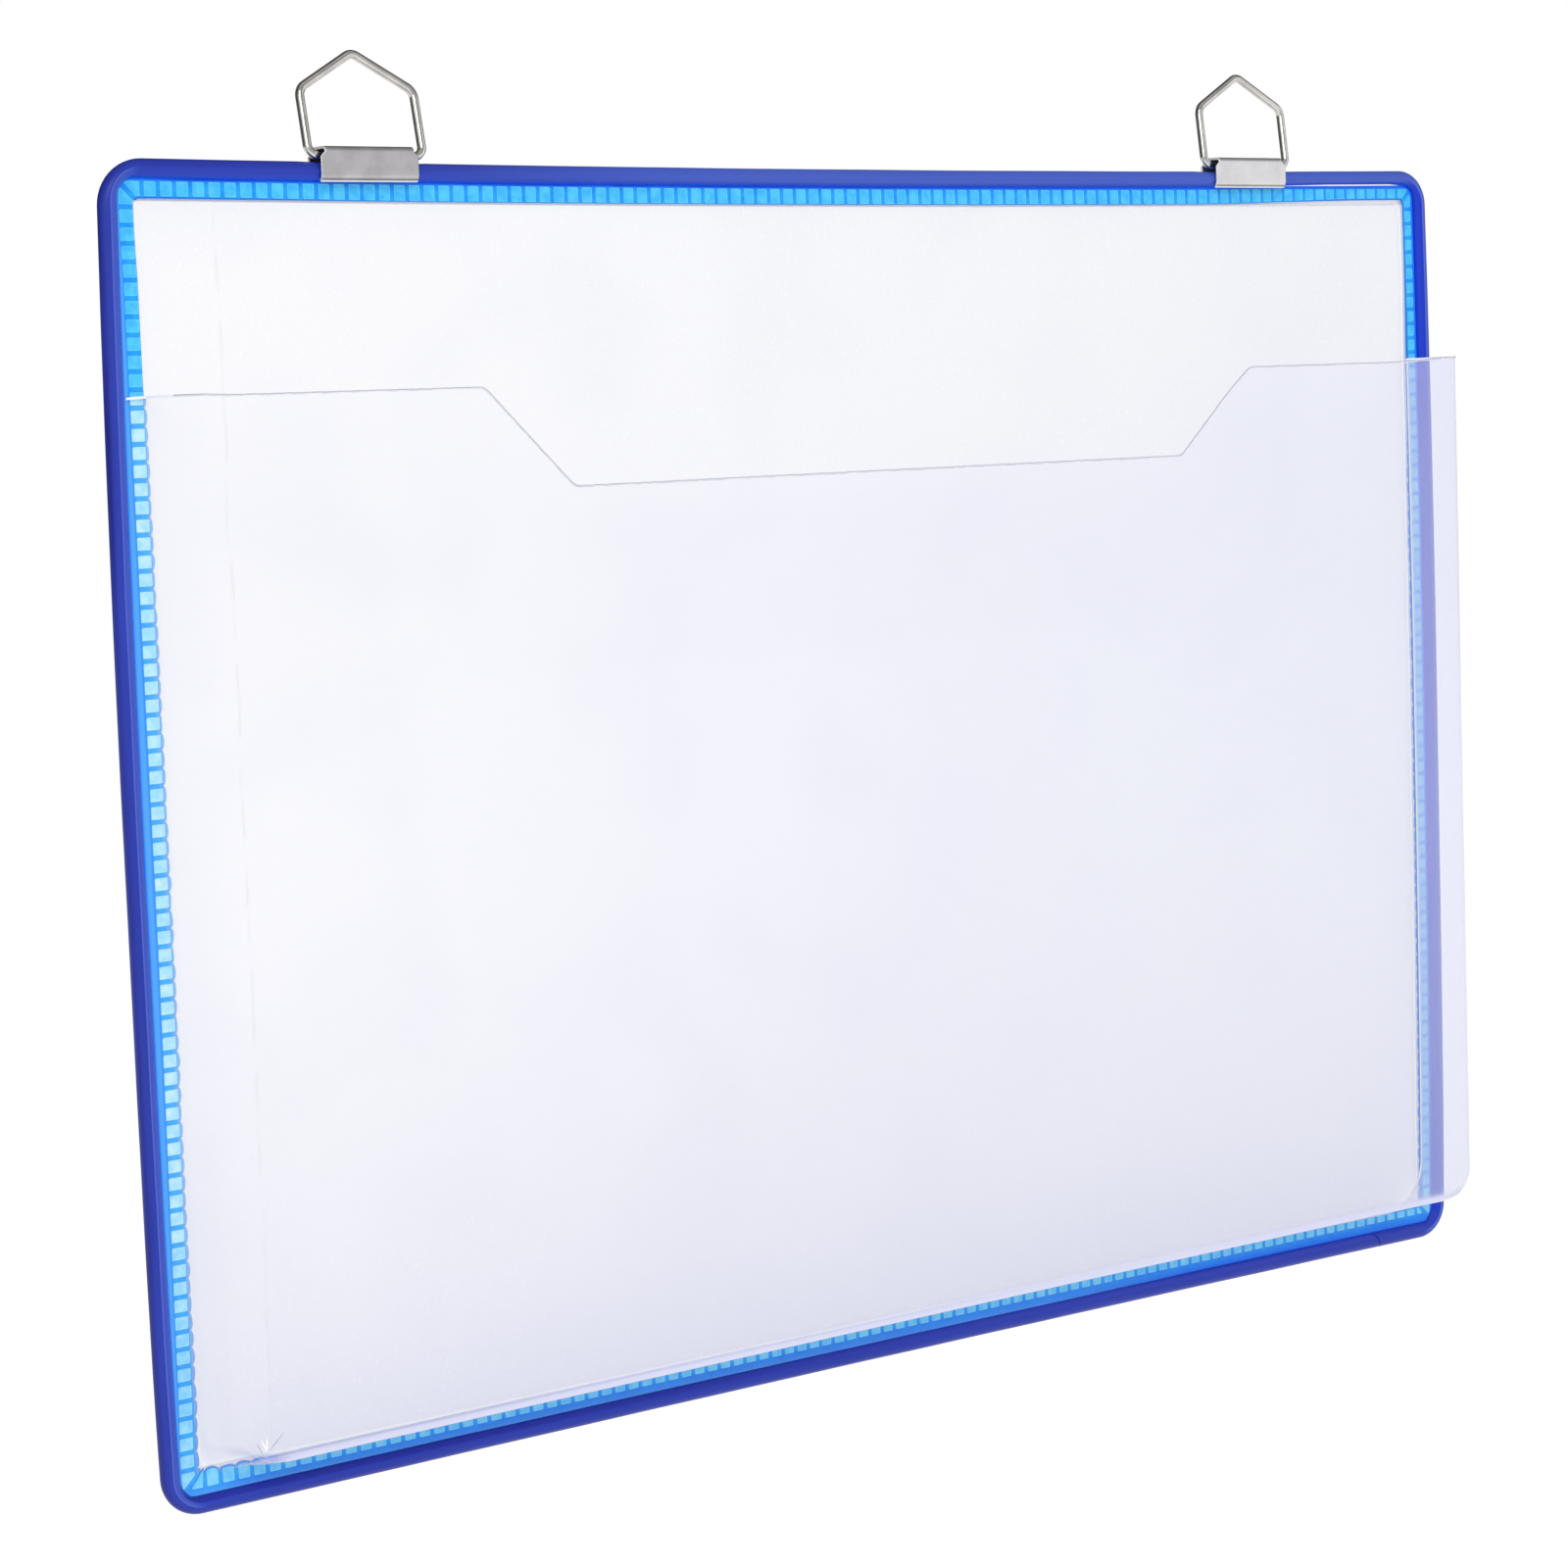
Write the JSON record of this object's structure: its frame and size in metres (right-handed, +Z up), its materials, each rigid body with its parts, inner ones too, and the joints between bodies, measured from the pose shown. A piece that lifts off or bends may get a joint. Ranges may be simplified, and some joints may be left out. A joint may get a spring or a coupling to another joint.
{
  "type": "hanging document pocket",
  "caption": "Landscape hanging document pocket: wire frame in blue edge piping, frosted back sheet, clear gusseted front pocket with finger cut-out, and clips with five-sided hanging rings.",
  "frame": {"origin": "midway between the two rings' hook seats, the line that the pocket hangs from", "axes": "+X to the right seen from the front, +Y back towards the wall, +Z up"},
  "size_m": [0.3349, 0.0246, 0.2661],
  "materials": {
    "drawn_steel_wire": "drawn wire, dull",
    "blue_soft_plastic": "translucent blue soft plastic, glossy",
    "frosted_clear_film": "frosted clear plastic film",
    "clear_film": "clear plastic film with a faint lilac tint, glossy",
    "nickelled_sheet_steel": "nickel-plated sheet steel, satin",
    "nickelled_wire": "nickel-plated steel wire, polished"
  },
  "bodies": {
    "pocket": {"wire_frame": "drawn_steel_wire", "edge_piping": "blue_soft_plastic", "back_sheet": "frosted_clear_film", "front_pocket": "clear_film", "clip_left": "nickelled_sheet_steel", "clip_right": "nickelled_sheet_steel"},
    "left_ring": {"ring_left": "nickelled_wire"},
    "right_ring": {"ring_right": "nickelled_wire"}
  },
  "joints": [
    {"name": "ring_left_tip", "type": "hinge", "parent": "pocket", "child": "left_ring", "pos_m": [-0.1111, -0.00311, -0.01812], "axis": [1, 0, 0], "range_deg": [-100, 124]},
    {"name": "ring_right_tip", "type": "hinge", "parent": "pocket", "child": "right_ring", "pos_m": [0.1111, -0.00311, -0.01812], "axis": [1, 0, 0], "range_deg": [-104.5, 119.5]}
  ]
}
